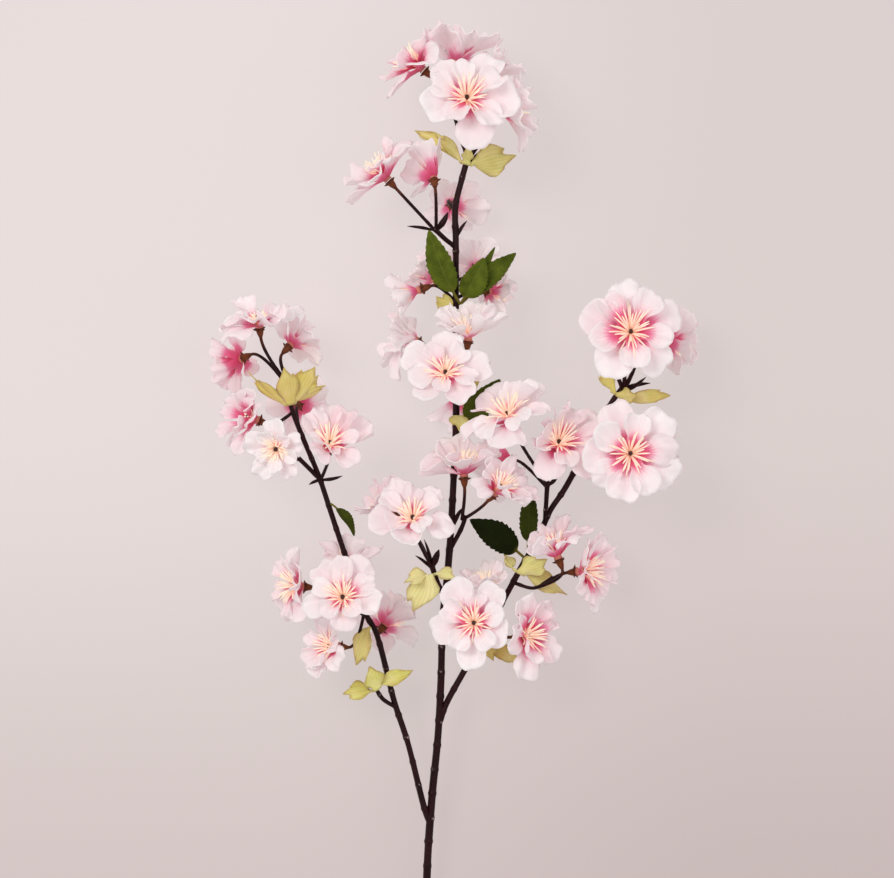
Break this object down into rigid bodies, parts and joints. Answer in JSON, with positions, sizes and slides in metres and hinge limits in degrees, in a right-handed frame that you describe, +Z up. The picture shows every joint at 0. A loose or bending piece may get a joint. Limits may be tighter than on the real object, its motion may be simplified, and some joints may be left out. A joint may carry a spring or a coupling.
{
  "type": "artificial cherry blossom sprig",
  "caption": "Artificial cherry blossom sprig with side branches, pale pink fabric blooms in clusters, yellow-green bracts and toothed green leaves, lying on its side.",
  "frame": {"origin": "middle of the footprint of the whole sprig, on the surface that it lies on", "axes": "+Z up from the surface, +Y along the stem from the cut end to the tip, +X to the right of the sprig seen from above with the tip away"},
  "size_m": [0.2464, 0.5496, 0.0805],
  "materials": {
    "stem_plastic": "dark maroon-brown moulded plastic with ring-like knots, satin",
    "petal_fabric": "thin woven fabric, nearly white to pale pink, strong pink in the throat",
    "bract_fabric": "thin woven fabric, yellow-green with brownish edges",
    "leaf_fabric": "woven fabric, dark green with a lighter midrib"
  },
  "bodies": {
    "root": {"branching_stem": "stem_plastic", "bloom_top_front": "petal_fabric", "bloom_top_left": "petal_fabric", "bloom_top_tip": "petal_fabric", "bloom_top_right": "petal_fabric", "bloom_top_low_right": "petal_fabric", "bloom_long_peg": "petal_fabric", "bloom_upper_left": "petal_fabric", "bloom_upper_back": "petal_fabric", "bloom_crown_left": "petal_fabric", "bloom_crown_low_left": "petal_fabric", "bloom_crown_right": "petal_fabric", "bloom_crown_back": "petal_fabric", "bloom_centre_left": "petal_fabric", "bloom_centre_front": "petal_fabric", "bloom_centre_top": "petal_fabric", "bloom_centre_back": "petal_fabric", "bloom_mid_top": "petal_fabric", "bloom_mid_front": "petal_fabric", "bloom_mid_left_front": "petal_fabric", "bloom_mid_left": "petal_fabric", "bloom_inner_right": "petal_fabric", "bloom_inner_back": "petal_fabric", "bloom_inner_front": "petal_fabric", "bloom_right_front": "petal_fabric", "bloom_right_side": "petal_fabric", "bloom_right_low_front": "petal_fabric", "bloom_right_low_side": "petal_fabric", "bloom_low_right_up": "petal_fabric", "bloom_low_right_side": "petal_fabric", "bloom_low_front": "petal_fabric", "bloom_low_right_front": "petal_fabric", "bloom_low_middle": "petal_fabric", "bloom_left_top": "petal_fabric", "bloom_left_side": "petal_fabric", "bloom_left_inner": "petal_fabric", "bloom_left_low_side": "petal_fabric", "bloom_left_low_front": "petal_fabric", "bloom_left_middle": "petal_fabric", "bloom_left_back": "petal_fabric", "bloom_low_left_side": "petal_fabric", "bloom_low_left_front": "petal_fabric", "bloom_low_left_down": "petal_fabric", "bloom_low_left_back": "petal_fabric", "bloom_low_left_top": "petal_fabric", "bract_top": "bract_fabric", "bract_upper": "bract_fabric", "bract_centre": "bract_fabric", "bract_left": "bract_fabric", "bract_right": "bract_fabric", "bract_middle": "bract_fabric", "bract_low_left": "bract_fabric", "bract_hanging": "bract_fabric", "bract_low_right": "bract_fabric", "bract_lowest": "bract_fabric", "leaf_upper_spray": "leaf_fabric", "leaf_inner": "leaf_fabric", "leaf_right_wide": "leaf_fabric", "leaf_right_tall": "leaf_fabric", "leaf_left_edge": "leaf_fabric"}
  },
  "joints": []
}
